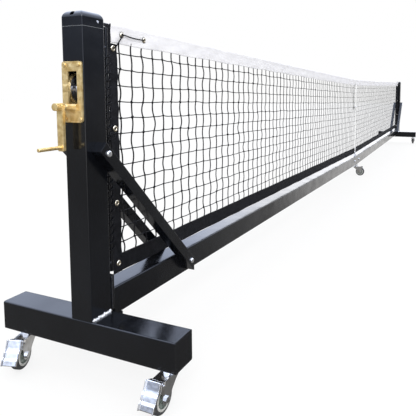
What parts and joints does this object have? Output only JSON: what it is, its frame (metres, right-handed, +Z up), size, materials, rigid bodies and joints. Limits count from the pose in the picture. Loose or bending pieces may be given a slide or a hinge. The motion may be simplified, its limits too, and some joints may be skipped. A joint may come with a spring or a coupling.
{
  "type": "portable rolling court net",
  "caption": "Rolling court net: steel posts on caster feet, a beam with braces, a black net with a white headband, a brass crank winch and a centre strap.",
  "frame": {"origin": "bottom centre of the whole object, on the floor under the middle of its box", "axes": "+X along the net, away from the winch post; +Z up; the front, with the strap's front leg, faces -Y"},
  "size_m": [6.938, 0.54, 0.926],
  "materials": {
    "navy_paint": "gloss",
    "zinc_steel": "satin",
    "brass": "satin cast",
    "cable_steel": "stranded",
    "pulley_nylon": "satin",
    "white_vinyl": "matte",
    "black_tape": "matte",
    "black_net": "matte",
    "black_cord": "matte",
    "white_webbing": "woven",
    "chrome": "polished",
    "caster_chrome": "bright zinc",
    "wheel_hub": "matte",
    "tyre": "matte"
  },
  "bodies": {
    "frame": {"left_post": "navy_paint", "right_post": "navy_paint", "left_post_cap": "navy_paint", "right_post_cap": "navy_paint", "left_foot": "navy_paint", "right_foot": "navy_paint", "foot_end_plates": "navy_paint", "beam_left_half": "navy_paint", "beam_right_half": "navy_paint", "beam_mounting_plates": "navy_paint", "left_front_brace": "navy_paint", "left_back_brace": "navy_paint", "right_front_brace": "navy_paint", "right_back_brace": "navy_paint", "lacing_rods": "navy_paint", "beam_sleeve": "zinc_steel", "beam_bolts": "zinc_steel", "brace_bolts": "zinc_steel", "cap_and_winch_screws": "zinc_steel", "caster_stems": "zinc_steel", "pulley_axles": "zinc_steel", "tie_off_pin": "zinc_steel", "beam_eye": "zinc_steel", "winch_housing": "brass", "headline_cable": "cable_steel", "headband": "white_vinyl", "side_tapes": "black_tape", "bottom_tape": "black_tape", "net_mesh": "black_net", "lacing_cords": "black_cord", "centre_strap": "white_webbing", "strap_slider_and_loop": "chrome"},
    "reel": {"winch_reel": "zinc_steel", "worm_wheel": "brass"},
    "crank": {"worm_shaft": "zinc_steel", "crank_arm": "brass", "crank_handle": "brass"},
    "left_pulley": {"left_sheave": "pulley_nylon"},
    "right_pulley": {"right_sheave": "pulley_nylon"},
    "hook": {"strap_hook": "chrome"},
    "gate": {"hook_gate": "chrome"},
    "left_front_caster": {"left_front_caster_fork": "caster_chrome"},
    "left_front_wheel": {"left_front_wheel_core": "wheel_hub", "left_front_tyre": "tyre"},
    "left_front_pedal": {"left_front_brake_pedal": "caster_chrome"},
    "left_back_caster": {"left_back_caster_fork": "caster_chrome"},
    "left_back_wheel": {"left_back_wheel_core": "wheel_hub", "left_back_tyre": "tyre"},
    "left_back_pedal": {"left_back_brake_pedal": "caster_chrome"},
    "middle_caster": {"middle_caster_fork": "caster_chrome"},
    "middle_wheel": {"middle_wheel_core": "wheel_hub", "middle_tyre": "tyre"},
    "right_front_caster": {"right_front_caster_fork": "caster_chrome"},
    "right_front_wheel": {"right_front_wheel_core": "wheel_hub", "right_front_tyre": "tyre"},
    "right_front_pedal": {"right_front_brake_pedal": "caster_chrome"},
    "right_back_caster": {"right_back_caster_fork": "caster_chrome"},
    "right_back_wheel": {"right_back_wheel_core": "wheel_hub", "right_back_tyre": "tyre"},
    "right_back_pedal": {"right_back_brake_pedal": "caster_chrome"}
  },
  "joints": [
    {"name": "crank_spin", "type": "hinge", "parent": "frame", "child": "crank", "pos_m": [-3.385, 0.0175, 0.702], "axis": [1, 0, 0], "continuous": true},
    {"name": "reel_spin", "type": "hinge", "parent": "frame", "child": "reel", "pos_m": [-3.34, 0, 0.7458], "axis": [0, 1, 0], "continuous": true},
    {"name": "left_pulley_spin", "type": "hinge", "parent": "frame", "child": "left_pulley", "pos_m": [-3.331, 0, 0.887], "axis": [0, 1, 0], "continuous": true},
    {"name": "right_pulley_spin", "type": "hinge", "parent": "frame", "child": "right_pulley", "pos_m": [3.361, 0, 0.887], "axis": [0, 1, 0], "continuous": true},
    {"name": "hook_swivel", "type": "hinge", "parent": "frame", "child": "hook", "pos_m": [0.015, -0.012, 0.245], "axis": [0, 0, 1], "range_deg": [-15, 15]},
    {"name": "gate_pivot", "type": "hinge", "parent": "hook", "child": "gate", "pos_m": [0.0263, -0.012, 0.231], "axis": [0, 1, 0], "range_deg": [0, 30], "stiffness_Nm_per_rad": 0.004},
    {"name": "left_front_swivel", "type": "hinge", "parent": "frame", "child": "left_front_caster", "pos_m": [-3.335, -0.228, 0.084], "axis": [0, 0, 1], "continuous": true},
    {"name": "left_front_wheel_spin", "type": "hinge", "parent": "left_front_caster", "child": "left_front_wheel", "pos_m": [-3.373, -0.228, 0.0375], "axis": [0, 1, 0], "continuous": true},
    {"name": "left_front_pedal_lift", "type": "hinge", "parent": "left_front_caster", "child": "left_front_pedal", "pos_m": [-3.387, -0.228, 0.078], "axis": [0, 1, 0], "range_deg": [0, 22]},
    {"name": "left_back_swivel", "type": "hinge", "parent": "frame", "child": "left_back_caster", "pos_m": [-3.335, 0.228, 0.084], "axis": [0, 0, 1], "continuous": true},
    {"name": "left_back_wheel_spin", "type": "hinge", "parent": "left_back_caster", "child": "left_back_wheel", "pos_m": [-3.37114, 0.21626, 0.0375], "axis": [-0.309, 0.9511, 0], "continuous": true},
    {"name": "left_back_pedal_lift", "type": "hinge", "parent": "left_back_caster", "child": "left_back_pedal", "pos_m": [-3.38445, 0.21193, 0.078], "axis": [-0.309, 0.9511, 0], "range_deg": [0, 22]},
    {"name": "middle_swivel", "type": "hinge", "parent": "frame", "child": "middle_caster", "pos_m": [0.14, 0, 0.084], "axis": [0, 0, 1], "continuous": true},
    {"name": "middle_wheel_spin", "type": "hinge", "parent": "middle_caster", "child": "middle_wheel", "pos_m": [0.14, -0.038, 0.0375], "axis": [-1, 0, 0], "continuous": true},
    {"name": "right_front_swivel", "type": "hinge", "parent": "frame", "child": "right_front_caster", "pos_m": [3.365, -0.228, 0.084], "axis": [0, 0, 1], "continuous": true},
    {"name": "right_front_wheel_spin", "type": "hinge", "parent": "right_front_caster", "child": "right_front_wheel", "pos_m": [3.403, -0.228, 0.0375], "axis": [0, -1, 0], "continuous": true},
    {"name": "right_front_pedal_lift", "type": "hinge", "parent": "right_front_caster", "child": "right_front_pedal", "pos_m": [3.417, -0.228, 0.078], "axis": [0, -1, 0], "range_deg": [0, 22]},
    {"name": "right_back_swivel", "type": "hinge", "parent": "frame", "child": "right_back_caster", "pos_m": [3.365, 0.228, 0.084], "axis": [0, 0, 1], "continuous": true},
    {"name": "right_back_wheel_spin", "type": "hinge", "parent": "right_back_caster", "child": "right_back_wheel", "pos_m": [3.40187, 0.21881, 0.0375], "axis": [-0.2419, -0.9703, 0], "continuous": true},
    {"name": "right_back_pedal_lift", "type": "hinge", "parent": "right_back_caster", "child": "right_back_pedal", "pos_m": [3.41546, 0.21542, 0.078], "axis": [-0.2419, -0.9703, 0], "range_deg": [0, 22]}
  ],
  "couplings": [
    {"joint": "reel_spin", "follows": "crank_spin", "ratio": 0.033333},
    {"joint": "left_pulley_spin", "follows": "crank_spin", "ratio": 0.020136},
    {"joint": "right_pulley_spin", "follows": "crank_spin", "ratio": 0.020136}
  ]
}
